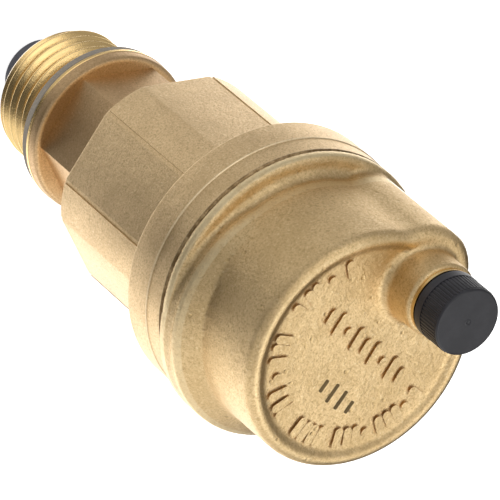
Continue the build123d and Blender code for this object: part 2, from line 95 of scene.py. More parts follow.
class NodeBench:
    """A node tree, with one short call for each kind of node that it uses."""

    def __init__(self, tree: bpy.types.NodeTree, coordinates: str) -> None:
        """Clears the tree and opens its coordinates.

        Args:
            tree: The tree to fill.
            coordinates: Which output of Texture Coordinate places its patterns.
        """
        self.tree = tree
        tree.nodes.clear()
        self.place = tree.nodes.new("ShaderNodeTexCoord").outputs[coordinates]

    def put(self, socket: bpy.types.NodeSocket, value: object) -> None:
        """Links a socket to an input, or sets the input's own value.

        Args:
            socket: The input.
            value: A socket to link, or the value to set.
        """
        if isinstance(value, bpy.types.NodeSocket):
            self.tree.links.new(value, socket)
        else:
            socket.default_value = value

    def sum(self, operation: str, first: object, second: object = 0.0) -> bpy.types.NodeSocket:
        """Adds one step of arithmetic.

        Args:
            operation: The Math node's operation.
            first: A socket or a number.
            second: A socket or a number.

        Returns:
            The result.
        """
        node = self.tree.nodes.new("ShaderNodeMath")
        node.operation = operation
        self.put(node.inputs[0], first)
        self.put(node.inputs[1], second)
        return node.outputs[0]

    def spread(self, value: object, low: float, high: float, to_low: float = 0.0,
               to_high: float = 1.0) -> bpy.types.NodeSocket:
        """Maps a range smoothly on to another, held at its ends.

        Args:
            value: What is mapped.
            low: Start of the range.
            high: End of the range.
            to_low: Result at the start and before it.
            to_high: Result at the end and past it.

        Returns:
            The result.
        """
        node = self.tree.nodes.new("ShaderNodeMapRange")
        node.interpolation_type = "SMOOTHSTEP"
        for index, number in enumerate((value, low, high, to_low, to_high)):
            self.put(node.inputs[index], number)
        return node.outputs[0]

    def toward(self, direction: Sequence[float]) -> bpy.types.NodeSocket:
        """Measures how far the coordinates point along a direction.

        Args:
            direction: The direction, of any length.

        Returns:
            From -1 to 1, where the coordinates are a unit vector.
        """
        node = self.tree.nodes.new("ShaderNodeVectorMath")
        node.operation = "DOT_PRODUCT"
        self.put(node.inputs[0], self.place)
        node.inputs[1].default_value = Vector(direction).normalized()
        return node.outputs["Value"]


class Recipe(NodeBench):
    """A material's tree, round a Principled shader."""

    def __init__(self, name: str) -> None:
        """Starts an empty material.

        Args:
            name: The material's name.
        """
        self.material = bpy.data.materials.new(name)
        self.material.use_nodes = True
        super().__init__(self.material.node_tree, "Object")
        self.shader = self.tree.nodes.new("ShaderNodeBsdfPrincipled")
        output = self.tree.nodes.new("ShaderNodeOutputMaterial")
        self.tree.links.new(self.shader.outputs["BSDF"], output.inputs["Surface"])

    def stretched(self, stretch: Sequence[float]) -> bpy.types.NodeSocket:
        """Stretches the coordinates, for brushed or turned marks.

        Args:
            stretch: Scale along each axis.

        Returns:
            The stretched coordinates.
        """
        node = self.tree.nodes.new("ShaderNodeMapping")
        self.put(node.inputs["Vector"], self.place)
        node.inputs["Scale"].default_value = stretch
        return node.outputs["Vector"]

    def noise(self, size: float, detail: float = 4.0, rough: float = 0.6,
              place: Optional[bpy.types.NodeSocket] = None) -> bpy.types.NodeSocket:
        """Fractal noise.

        Args:
            size: Width of a blotch in millimetres.
            detail: Number of octaves.
            rough: Weight of the finer octaves.
            place: Coordinates to use in place of the plain ones.

        Returns:
            The noise's factor, from 0 to 1.
        """
        node = self.tree.nodes.new("ShaderNodeTexNoise")
        self.put(node.inputs["Vector"], place or self.place)
        node.inputs["Scale"].default_value = 1.0 / (size * MM)
        node.inputs["Detail"].default_value = detail
        node.inputs["Roughness"].default_value = rough
        return node.outputs["Fac"]

    def cells(self, size: float) -> bpy.types.NodeSocket:
        """Scatters points, for pits and grains.

        Args:
            size: Distance between points in millimetres.

        Returns:
            Distance to the nearest point, as a share of the size.
        """
        node = self.tree.nodes.new("ShaderNodeTexVoronoi")
        self.put(node.inputs["Vector"], self.place)
        node.inputs["Scale"].default_value = 1.0 / (size * MM)
        return node.outputs["Distance"]

    def axis(self, name: str) -> bpy.types.NodeSocket:
        """Reads one coordinate.

        Args:
            name: X, Y or Z.

        Returns:
            The coordinate in millimetres.
        """
        node = self.tree.nodes.new("ShaderNodeSeparateXYZ")
        self.put(node.inputs[0], self.place)
        return self.sum("MULTIPLY", node.outputs[name], 1.0 / MM)

    def radius(self) -> bpy.types.NodeSocket:
        """Distance from the main axis, in millimetres."""
        squares = [self.sum("MULTIPLY", part, part) for part in (self.axis("X"), self.axis("Y"))]
        return self.sum("SQRT", self.sum("ADD", *squares))

    def band(self, value: bpy.types.NodeSocket, low: float, high: float,
             soft: float) -> bpy.types.NodeSocket:
        """Marks a band of values.

        Args:
            value: What is tested.
            low: Lower end of the band.
            high: Upper end of the band.
            soft: Half the width of each soft end.

        Returns:
            1 inside the band and 0 outside it.
        """
        rise = self.spread(value, low - soft, low + soft)
        fall = self.spread(value, high - soft, high + soft, 1.0, 0.0)
        return self.sum("MULTIPLY", rise, fall)

    def mix(self, factor: object, first: object, second: object) -> bpy.types.NodeSocket:
        """Blends two colours.

        Args:
            factor: Share of the second colour.
            first: A colour or a socket.
            second: A colour or a socket.

        Returns:
            The blended colour.
        """
        node = self.tree.nodes.new("ShaderNodeMix")
        node.data_type = "RGBA"
        self.put(node.inputs["Factor"], factor)
        for name, colour in (("A", first), ("B", second)):
            socket = next(s for s in node.inputs if s.name == name and s.type == "RGBA")
            self.put(socket, (*colour, 1.0) if isinstance(colour, tuple) else colour)
        return next(s for s in node.outputs if s.type == "RGBA")

    def bump(self, height: object, depth: float,
             under: Optional[bpy.types.NodeSocket] = None) -> bpy.types.NodeSocket:
        """Surface relief.

        Args:
            height: The relief's height from 0 to 1.
            depth: Height of 1 in millimetres.
            under: The normal of relief that this one lies on.

        Returns:
            The bumped normal.
        """
        node = self.tree.nodes.new("ShaderNodeBump")
        node.inputs["Strength"].default_value = 1.0
        node.inputs["Distance"].default_value = depth * MM
        self.put(node.inputs["Height"], height)
        if under is not None:
            self.put(node.inputs["Normal"], under)
        return node.outputs["Normal"]

    def finish(self, colour: object, roughness: object, normal: bpy.types.NodeSocket,
               metallic: float) -> bpy.types.Material:
        """Joins the results to the shader.

        Args:
            colour: Base colour, or its socket.
            roughness: Roughness, or its socket.
            normal: The bumped normal.
            metallic: 1 for metal and 0 for anything else.

        Returns:
            The finished material.
        """
        self.put(self.shader.inputs["Base Color"],
                 (*colour, 1.0) if isinstance(colour, tuple) else colour)
        self.put(self.shader.inputs["Roughness"], roughness)
        self.put(self.shader.inputs["Normal"], normal)
        self.shader.inputs["Metallic"].default_value = metallic
        return self.material


@dataclass(frozen=True)
class Strip:
    """A strip round a casting, between two heights in millimetres, of painted highlight or dark.

    An amount above 0 paints a highlight, and one below 0 paints a dark parting line, or painted
    shade in a hollow.
    """

    low: float
    high: float
    amount: float
    radii: Point = (0.0, 99.0)


@dataclass(frozen=True)
class BrassFinish:
    """Brass with a blasted or cast grain, strips of painted highlight and dark, and bright bands.

    Bands are (lowest z, highest z) in millimetres, and show the bright metal: machined on the
    inlet, and painted highlights along the chamber's edges.
    """

    name: str
    shade: Colour
    tone: Colour
    glint: Colour
    bright: Colour
    grain: float
    grain_depth: float
    roughness: float
    bright_roughness: float = 0.25
    bands: tuple[Point, ...] = ()
    flat: Optional[Point] = None
    strips: tuple[Strip, ...] = ()
    pits: bool = False
    deep: Colour = (0.13, 0.075, 0.03)
    speck_ratio: float = 0.45
    speck_share: float = 0.35
    stain_size: float = 7.0
    cloud_size: float = 1.6
    cloud_ratio: float = 0.9
    pit_spacing: float = 2.4
    pit_depth: float = 0.05

    def make(self) -> bpy.types.Material:
        """Builds the material.

        Returns:
            The finished material.
        """
        recipe = Recipe(self.name)
        coarse = recipe.noise(self.grain, 5.0, 0.65)
        speck = recipe.noise(self.grain * self.speck_ratio, 3.0, 0.7)
        grain = recipe.sum("ADD", recipe.sum("MULTIPLY", coarse, 1.0 - self.speck_share),
                           recipe.sum("MULTIPLY", speck, self.speck_share))
        body = self._tones(recipe, grain)
        rough = recipe.spread(grain, 0.3, 0.7, self.roughness + 0.08, self.roughness - 0.08)
        normal = recipe.bump(grain, self.grain_depth)
        cloud = recipe.noise(self.cloud_size, 3.0, 0.5)
        normal = recipe.bump(cloud, self.grain_depth * self.cloud_ratio, normal)
        if self.pits:
            hollow = recipe.spread(recipe.cells(self.pit_spacing), 0.05, 0.16)
            body = recipe.mix(recipe.spread(hollow, 0.2, 0.9, 0.75, 0.0), body, self.shade)
            normal = recipe.bump(hollow, self.pit_depth, normal)
        # Strips paint highlights in the glint colour, and dark parting lines and painted shade in
        # hollows in the deep colour.
        for strip in self.strips:
            strip_colour = self.glint if strip.amount > 0 else self.deep
            body = recipe.mix(self._strip(recipe, strip), body, strip_colour)
        # Bright metal: machined bands and faces, and painted highlights along the chamber's edges.
        polish_and_highlight = self._place_polish_and_highlights(recipe)
        if polish_and_highlight is not None:
            turned = recipe.noise(0.12, 2.0, 0.6, recipe.stretched(ROUND_MARKS))
            metal = recipe.mix(recipe.spread(turned, 0.3, 0.7), self.bright,
                               tuple(0.8 * part for part in self.bright))
            body = recipe.mix(polish_and_highlight, body, metal)
            rest = recipe.sum("SUBTRACT", 1.0, polish_and_highlight)
            rough = recipe.sum("ADD", recipe.sum("MULTIPLY", rough, rest),
                               recipe.sum("MULTIPLY", polish_and_highlight, self.bright_roughness))
        return recipe.finish(body, rough, normal, 1.0)

    def _tones(self, recipe: Recipe, grain: bpy.types.NodeSocket) -> bpy.types.NodeSocket:
        """Colours the metal: painted shade between the grains, painted glints on them, with wide
        stains.

        Args:
            recipe: The material's recipe.
            grain: Height of the grain.

        Returns:
            The colour.
        """
        stain = recipe.spread(recipe.noise(self.stain_size, 3.0, 0.55), 0.35, 0.7)
        body = recipe.mix(recipe.spread(grain, 0.36, 0.54), self.shade, self.tone)
        body = recipe.mix(recipe.sum("MULTIPLY", stain, 0.45), body, self.shade)
        # Painted glints on the tops of the grains.
        return recipe.mix(recipe.spread(grain, 0.56, 0.68), body, self.glint)

    def _strip(self, recipe: Recipe, strip: Strip) -> bpy.types.NodeSocket:
        """Places one strip of painted highlight or dark, broken up by noise.

        Args:
            recipe: The material's recipe.
            strip: The strip.

        Returns:
            How strongly it shows, from 0 to 1.
        """
        ragged = recipe.spread(recipe.noise(1.1, 3.0, 0.6), 0.3, 0.6, 0.55, 1.0)
        here = recipe.sum("MULTIPLY", ragged, abs(strip.amount))
        level = recipe.band(recipe.axis("Z"), strip.low, strip.high, 0.1)
        here = recipe.sum("MULTIPLY", here, level)
        if strip.radii[0] > 0.0:
            inside = recipe.band(recipe.radius(), *strip.radii, 0.15)
            here = recipe.sum("MULTIPLY", here, inside)
        return here

    def _place_polish_and_highlights(self, recipe: Recipe) -> Optional[bpy.types.NodeSocket]:
        """Places the bright metal: machined bands and faces, and bands of painted highlight along
        edges.

        Args:
            recipe: The material's recipe.

        Returns:
            How strongly it shows, or None if it shows nowhere.
        """
        polish_and_highlight = None
        if self.bands:
            height = recipe.axis("Z")
            for low, high in self.bands:
                band = recipe.band(height, low, high, 0.06)
                polish_and_highlight = band if polish_and_highlight is None else recipe.sum("MAXIMUM", polish_and_highlight, band)
        if self.flat is not None:
            from_x, from_z = self.flat
            flat = recipe.sum("MULTIPLY", recipe.spread(recipe.axis("X"), from_x - 0.1, from_x),
                              recipe.spread(recipe.axis("Z"), from_z - 0.5, from_z))
            polish_and_highlight = flat if polish_and_highlight is None else recipe.sum("MAXIMUM", polish_and_highlight, flat)
        return polish_and_highlight


@dataclass(frozen=True)
class TurnedFinish:
    """Bright turned or drawn metal with fine marks round its axis."""

    name: str
    tone: Colour
    shade: Colour
    roughness: float

    def make(self) -> bpy.types.Material:
        """Builds the material.

        Returns:
            The finished material.
        """
        recipe = Recipe(self.name)
        marks = recipe.noise(0.1, 3.0, 0.6, recipe.stretched(ROUND_MARKS))
        tarnish = recipe.noise(3.0, 4.0, 0.6)
        colour = recipe.mix(recipe.spread(tarnish, 0.4, 0.75), self.tone, self.shade)
        colour = recipe.mix(recipe.spread(marks, 0.55, 0.75, 0.0, 0.5), colour, self.shade)
        rough = recipe.spread(marks, 0.3, 0.7, self.roughness, self.roughness + 0.12)
        return recipe.finish(colour, rough, recipe.bump(marks, 0.012), 1.0)


@dataclass(frozen=True)
class MouldedFinish:
    """Moulded plastic or rubber with a fine grain and slight colour change."""

    name: str
    tone: Colour
    shade: Colour
    roughness: float
    grain: float = 0.12
    grain_depth: float = 0.006

    def make(self) -> bpy.types.Material:
        """Builds the material.

        Returns:
            The finished material.
        """
        recipe = Recipe(self.name)
        grain = recipe.noise(self.grain, 4.0, 0.6)
        cloud = recipe.noise(2.5, 3.0, 0.5)
        colour = recipe.mix(recipe.spread(cloud, 0.35, 0.7), self.tone, self.shade)
        scuff = recipe.noise(0.5, 2.0, 0.5, recipe.stretched((1.0, 0.08, 1.0)))
        colour = recipe.mix(recipe.spread(scuff, 0.70, 0.78, 0.0, 0.05), colour, (0.3, 0.3, 0.32))
        rough = recipe.spread(grain, 0.3, 0.7, self.roughness - 0.06, self.roughness + 0.06)
        return recipe.finish(colour, rough, recipe.bump(grain, self.grain_depth), 0.0)


@dataclass(frozen=True)
class FibreFinish:
    """Pressed fibre sheet, as a flat gasket is cut from."""

    name: str
    tone: Colour
    shade: Colour

    def make(self) -> bpy.types.Material:
        """Builds the material.

        Returns:
            The finished material.
        """
        recipe = Recipe(self.name)
        fibres = recipe.noise(0.3, 5.0, 0.7, recipe.stretched((1.0, 1.0, 3.0)))
        layers = recipe.noise(0.2, 2.0, 0.5, recipe.stretched((0.05, 0.05, 1.0)))
        colour = recipe.mix(recipe.spread(fibres, 0.35, 0.65), self.shade, self.tone)
        colour = recipe.mix(recipe.spread(layers, 0.5, 0.7, 0.0, 0.4), colour, self.shade)
        return recipe.finish(colour, 0.85, recipe.bump(fibres, 0.03), 0.0)


class Finishes:
    """Every finish of the vent, made once and kept by name."""

    def __init__(self) -> None:
        """Makes the materials."""
        # Forged brass: the bands are painted highlights along the barrel's bottom edge and the
        # flange's lower edge; the strips are a painted highlight on the edge at z 48.9 and the dark
        # parting line under the cover.
        self.forged = BrassFinish(
            "forged_brass", shade=(0.58, 0.41, 0.21), tone=(0.84, 0.62, 0.35),
            glint=(0.98, 0.82, 0.56), bright=(0.98, 0.82, 0.56), grain=0.28, grain_depth=0.07,
            roughness=0.40, bands=((18.4, 19.05), (43.3, 43.9)),
            strips=(Strip(48.8, 49.0, 0.8), Strip(52.15, 52.6, -0.85))).make()
        self.fitting = BrassFinish(
            "inlet_brass", shade=(0.50, 0.33, 0.17), tone=(0.70, 0.48, 0.26),
            glint=(0.90, 0.70, 0.44), bright=(0.98, 0.70, 0.32), grain=0.28, grain_depth=0.028,
            roughness=0.42, bright_roughness=0.2, bands=((-14.0, 2.15),)).make()
        # Cast brass strips: the dark parting line, a painted highlight on the ledge round, painted
        # shade in the hollow above it, a painted highlight at the foot of the wall, a painted
        # highlight along the face's rim ridge, and painted shade on the slope inside the rim.
        self.cast = BrassFinish(
            "cast_brass", shade=(0.60, 0.42, 0.20), tone=(0.85, 0.63, 0.34),
            glint=(0.98, 0.82, 0.52), bright=(0.86, 0.83, 0.78), grain=0.34, grain_depth=0.11,
            roughness=0.38, bright_roughness=0.12, flat=(20.04, 56.0), pits=True,
            strips=(Strip(52.4, 52.75, -0.85), Strip(53.0, 54.0, 0.7), Strip(54.2, 55.5, -0.2),
                    Strip(56.0, 57.4, 0.5), Strip(71.5, 72.2, 0.15, (16.4, 16.95)),
                    Strip(71.3, 71.62, -0.35, (14.9, 16.2)))).make()
        self.turned = TurnedFinish(
            "turned_brass", tone=(0.93, 0.68, 0.32), shade=(0.66, 0.45, 0.2), roughness=0.2).make()
        self.steel = TurnedFinish(
            "spring_steel", tone=(0.62, 0.61, 0.59), shade=(0.42, 0.41, 0.40),
            roughness=0.28).make()
        self.print = MouldedFinish(
            "printed_mark", tone=(0.11, 0.066, 0.015), shade=(0.16, 0.10, 0.03),
            roughness=0.65).make()
        self.cap = MouldedFinish(
            "cap_plastic", tone=(0.012, 0.012, 0.017), shade=(0.020, 0.020, 0.026),
            roughness=0.42).make()
        self.guide = MouldedFinish(
            "guide_plastic", tone=(0.05, 0.052, 0.07), shade=(0.065, 0.068, 0.085),
            roughness=0.5).make()
        self.white = MouldedFinish(
            "float_plastic", tone=(0.76, 0.75, 0.70), shade=(0.66, 0.64, 0.58),
            roughness=0.45).make()
        self.rubber = MouldedFinish(
            "seal_rubber", tone=(0.014, 0.014, 0.014), shade=(0.03, 0.03, 0.03),
            roughness=0.62).make()
        self.fibre = FibreFinish(
            "gasket_fibre", tone=(0.27, 0.235, 0.185), shade=(0.17, 0.15, 0.13)).make()


# ---- Mesh work -----------------------------------------------------------------------------------


class Shape:
    """A mesh under construction in millimetres, which becomes a piece in metres."""

    def __init__(self) -> None:
        """Starts empty."""
        self.mesh = bmesh.new()

    def lathe(self, outline: Iterable[Point], steps: int = 96, centre_x: float = 0.0) -> None:
        """Spins a closed outline a full turn about a vertical axis.

        Args:
            outline: (radius, height) corners in order.
            steps: Faces round the turn.
            centre_x: Where the axis stands along X.
        """
        corners = [self.mesh.verts.new((centre_x + r, 0.0, z)) for r, z in outline]
        edges = [self.mesh.edges.new((a, b)) for a, b in zip(corners, corners[1:] + corners[:1])]
        bmesh.ops.spin(self.mesh, geom=corners + edges, cent=(centre_x, 0, 0), axis=(0, 0, 1),
                       dvec=(0, 0, 0), angle=FULL_TURN, steps=steps, use_merge=True)

    def coil(self, section: Iterable[Point], start_z: float, pitch: float, turns: float,
             steps: int = 72) -> None:
        """Winds a closed section up a helix, and closes its two ends.

        Args:
            section: (radius, height) corners in order, about height 0.
            start_z: Height of the section's middle at the start.
            pitch: Rise of one turn.
            turns: Number of turns.
            steps: Faces in one turn.
        """
        corners = [self.mesh.verts.new((r, 0.0, start_z + z)) for r, z in section]
        edges = [self.mesh.edges.new((a, b)) for a, b in zip(corners, corners[1:] + corners[:1])]
        self.mesh.faces.new(corners)
        made = bmesh.ops.spin(self.mesh, geom=corners + edges, cent=(0, 0, 0), axis=(0, 0, 1),
                              dvec=(0, 0, pitch / steps), angle=FULL_TURN * turns,
                              steps=round(steps * turns), use_merge=False)
        end = [item for item in made["geom_last"] if isinstance(item, bmesh.types.BMEdge)]
        bmesh.ops.contextual_create(self.mesh, geom=end)

    def take(self, node: str) -> None:
        """Takes a merged copy of a CAD node's mesh.

        Args:
            node: The node's name.
        """
        self.mesh.from_mesh(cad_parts[node].data)
        bmesh.ops.scale(self.mesh, vec=(1 / MM, 1 / MM, 1 / MM), verts=self.mesh.verts[:])
        bmesh.ops.remove_doubles(self.mesh, verts=self.mesh.verts[:], dist=MERGE_DISTANCE)

    def piece(self, name: str, material: bpy.types.Material, body: Optional[Body],
              smooth_angle: float = 35.0) -> bpy.types.Object:
        """Turns the shape into a finished piece that rides on a body.

        Args:
            name: The piece's name.
            material: What it is dressed in.
            body: The body that it moves with, or None for a piece that rides on no body.
            smooth_angle: Edges sharper than this, in degrees, stay crisp.

        Returns:
            The new object.
        """
        bmesh.ops.recalc_face_normals(self.mesh, faces=self.mesh.faces[:])
        bmesh.ops.scale(self.mesh, vec=(MM, MM, MM), verts=self.mesh.verts[:])
        for edge in self.mesh.edges:
            edge.smooth = edge.calc_face_angle(0.0) < math.radians(smooth_angle)
        for face in self.mesh.faces:
            face.smooth = True
        data = bpy.data.meshes.new(name)
        self.mesh.to_mesh(data)
        self.mesh.free()
        data.materials.append(material)
        made = bpy.data.objects.new(name, data)
        bpy.context.scene.collection.objects.link(made)
        if body is not None:
            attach(made, body.value)
        return made


def dress(node: str, material: bpy.types.Material) -> None:
    """Gives a carried-over CAD node its finish.

    Args:
        node: The node's name.
        material: Its finish.
    """
    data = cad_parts[node].data
    data.materials.clear()
    data.materials.append(material)


# ---- Sub-assemblies ------------------------------------------------------------------------------


@dataclass(frozen=True)
class LiveSpring:
    """A coil spring, copied from its rigid node as one piece that rides on no body.
    """

    node: str
    moving: Body
    fixed_z: float
    moving_z: float

    def build(self, finishes: Finishes) -> bpy.types.Object:
        """Builds the spring in place of its rigid node.

        Args:
            finishes: The vent's finishes.

        Returns:
            The spring.
        """
        shape = Shape()
        shape.take(self.node)
        spring = shape.piece(self.node + "_coil", finishes.steel, None,
                             smooth_angle=60.0)
        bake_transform(spring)
        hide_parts(self.node)
        return spring


@dataclass
class InletFitting:
    """Check valve body with its male thread, gasket collar and hexagon."""

    thread_end: float = -12.2
    start_r: float = 8.85
    crest_r: float = 10.478
    root_r: float = 9.32
    pitch: float = 1.814
    ridge_half: float = 0.84
    lead: float = 2.3
    relief_r: float = 9.5
    gasket_top: float = 1.4
    collar_r: float = 12.5
    collar_top: float = 4.2
    hex_apothem: float = 10.0
    hex_top: float = 18.7
    hex_turn: float = 12.0
    hex_bury: float = 0.05
    hex_round: float = 0.14
    socket_r: float = 8.33
    seat_r: float = 5.2
    seat_base: float = 3.0
    seat_top: float = 5.0
    bore_r: float = 7.6

    def build(self, finishes: Finishes) -> bpy.types.Object:
        """Builds the threaded fitting in place of its plain node.

        Args:
            finishes: The vent's finishes.

        Returns:
            The fitting.
        """
        shape = Shape()
        self._thread(shape)
        self._collar(shape)
        self._hexagon(shape)
        fitting = shape.piece("check_valve_fitting", finishes.fitting, Body.HOUSING,
                              smooth_angle=25.0)
        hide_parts("check_valve_body")
        return fitting

    def _thread(self, shape: Shape) -> None:
        """Winds the thread's ridge, closed at both ends, and chamfers its first turn.

        Args:
            shape: The mesh to add to.
        """
        buried = self.root_r - 0.15
        half = [(buried, self.ridge_half), (self.root_r, 0.78), (self.root_r + 0.12, 0.68),
                (self.crest_r - 0.14, 0.22), (self.crest_r - 0.03, 0.11)]
        section = [(r, -z) for r, z in half]
        section += [(self.crest_r, 0.0)] + [(r, z) for r, z in half[::-1]]
        start = self.thread_end + self.ridge_half
        shape.coil(section, start, self.pitch, (-self.ridge_half - start) / self.pitch)
        for vertex in shape.mesh.verts:
            radius = vertex.co.xy.length
            depth = vertex.co.z - self.thread_end
            limit = self.start_r + depth * (self.crest_r - self.start_r) / self.lead
            if radius > limit:
                vertex.co.xy *= limit / radius

    def _collar(self, shape: Shape) -> None:
        """Turns the core, the collar and the bores as one ring.

        Args:
            shape: The mesh to add to.
        """
        shape.lathe([
            (self.bore_r, self.thread_end), (self.start_r - 0.08, self.thread_end),
            (self.start_r, self.thread_end + 0.08), (self.root_r, self.thread_end + 0.75),
            (self.root_r, -0.4), (self.relief_r, 0.0),
            (self.relief_r, self.gasket_top), (self.collar_r - 0.2, self.gasket_top),
            (self.collar_r, self.gasket_top + 0.2), (self.collar_r, self.gasket_top + 0.68),
            (self.collar_r - 0.07, self.gasket_top + 0.75),
            (self.collar_r - 0.07, self.collar_top - 0.6),
            (self.collar_r - 0.13, self.collar_top - 0.35),
            (self.collar_r - 0.28, self.collar_top - 0.14),
            (self.collar_r - 0.5, self.collar_top - 0.03), (self.collar_r - 0.8, self.collar_top),
            (self.socket_r + 0.5, self.collar_top), (self.socket_r + 0.5, self.seat_top),
            (self.seat_r, self.seat_top), (self.seat_r, self.seat_base),
            (self.bore_r, self.seat_base)], steps=128)

    def _hexagon(self, shape: Shape) -> None:
        """Raises the hexagon round its socket and softens its six corners.

        Args:
            shape: The mesh to add to.
        """
        half_flat = math.pi / 6
        corner_r = self.hex_apothem / math.cos(half_flat)
        base = Matrix.Translation((0, 0, self.collar_top - self.hex_bury))
        turned = base @ Matrix.Rotation(math.radians(self.hex_turn) - half_flat, 4, "Z")
        before = set(shape.mesh.faces)
        loops = []
        for segments, radius, place in ((6, corner_r, turned), (48, self.socket_r, base)):
            ring = bmesh.ops.create_circle(shape.mesh, segments=segments, radius=radius,
                                           matrix=place)["verts"]
            loops += {edge for vertex in ring for edge in vertex.link_edges}
        bmesh.ops.bridge_loops(shape.mesh, edges=loops)
        floor = [face for face in shape.mesh.faces if face not in before]
        raised = bmesh.ops.extrude_face_region(shape.mesh, geom=floor, use_keep_orig=True)["geom"]
        lifted = [item for item in raised if isinstance(item, bmesh.types.BMVert)]
        rise = self.hex_top - self.collar_top + self.hex_bury
        bmesh.ops.translate(shape.mesh, vec=(0, 0, rise), verts=lifted)
        corners = [edge for edge in shape.mesh.edges
                   if abs(edge.verts[0].co.z - edge.verts[1].co.z) > rise - 0.1
                   and min(v.co.xy.length for v in edge.verts) > self.hex_apothem + 0.5
                   and edge.verts[0].co.z + edge.verts[1].co.z > self.collar_top]
        bmesh.ops.bevel(shape.mesh, geom=corners, offset=self.hex_round, offset_type="OFFSET",
                        affect="EDGES", segments=2, profile=0.5, material=-1)

    def dress(self, finishes: Finishes) -> None:
        """Dresses the inlet's other pieces.

        Args:
            finishes: The vent's finishes.
        """
        dress("inlet_gasket", finishes.fibre)
        dress("check_valve_guide", finishes.guide)
        dress("check_valve_poppet", finishes.guide)
        dress("poppet_seal", finishes.rubber)
        dress("check_valve_spring", finishes.steel)
        dress("joint_o_ring", finishes.rubber)


@dataclass
class FloatChamber:
    """Barrel and flange of the float chamber, with what it holds."""

    rounded: tuple[float, ...] = (19.3, 44.1)
    round_r: float = 0.45
    reach: float = 0.25
    outside_r: float = 12.0

    def build(self, finishes: Finishes) -> bpy.types.Object:
        """Builds the chamber with its lower edges rounded over.

        Args:
            finishes: The vent's finishes.

        Returns:
            The chamber.
        """
        shape = Shape()
        shape.take("body_shell")
        rims = [edge for edge in shape.mesh.edges if self._is_rim(edge)]
        bmesh.ops.bevel(shape.mesh, geom=rims, offset=self.round_r, offset_type="OFFSET",
                        affect="EDGES", segments=3, profile=0.5, clamp_overlap=True, material=-1)
        log.info("%d edges rounded", len(rims))
        chamber = shape.piece("chamber_shell", finishes.forged, Body.HOUSING,
                              smooth_angle=25.0)
        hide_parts("body_shell")
        return chamber

    def _is_rim(self, edge: bmesh.types.BMEdge) -> bool:
        """Tests whether an edge runs round the outside at one of the rounded heights.

        Args:
            edge: The edge.

        Returns:
            True if it does.
        """
        low, high = sorted(vertex.co.z for vertex in edge.verts)
        return (edge.is_convex and edge.calc_face_angle(0.0) > math.radians(30.0)
                and min(vertex.co.xy.length for vertex in edge.verts) > self.outside_r
                and any(z - self.reach < low and high < z + self.reach for z in self.rounded))

    def dress(self, finishes: Finishes) -> None:
        """Dresses the chamber's seal, baffle and float.

        Args:
            finishes: The vent's finishes.
        """
        dress("cover_o_ring", finishes.rubber)
        for node in ("inlet_baffle", "float_body", "float_lid", "float_hook"):
            dress(node, finishes.white)


class MarkKind(Enum):
    """Kinds of plain foundry mark on the cover's face."""

    BAR = "bar"
    DOT = "dot"
    PAIR = "pair"


@dataclass(frozen=True)
class Mark:
    """One raised mark, placed on the face by its middle and its turn in degrees."""

    kind: MarkKind
    x: float
    y: float
    turn: float
    length: float = 1.9


# Groups of marks round the rim: first angle, last angle and the marks between them
RIM_GROUPS = (
    (57, 95, (MarkKind.BAR, MarkKind.DOT, MarkKind.PAIR, MarkKind.BAR)),
    (117, 161, (MarkKind.PAIR, MarkKind.BAR, MarkKind.DOT, MarkKind.BAR, MarkKind.PAIR)),
    (184, 196, (MarkKind.PAIR, MarkKind.PAIR)),
    (213, 272, (MarkKind.BAR, MarkKind.PAIR, MarkKind.DOT, MarkKind.BAR, MarkKind.PAIR,
                MarkKind.DOT, MarkKind.BAR)))
MIDDLE_ROW = (1.3, 2.5, 0.1, 2.5, 1.3, 2.5, 0.1, 2.5, 1.3)      # lengths of the middle row's bars
STROKE_SIDE = ((0.12, 0.18), (0.13, 0.34), (0.11, 0.28), (0.10, 0.15), (0.08, 0.05))


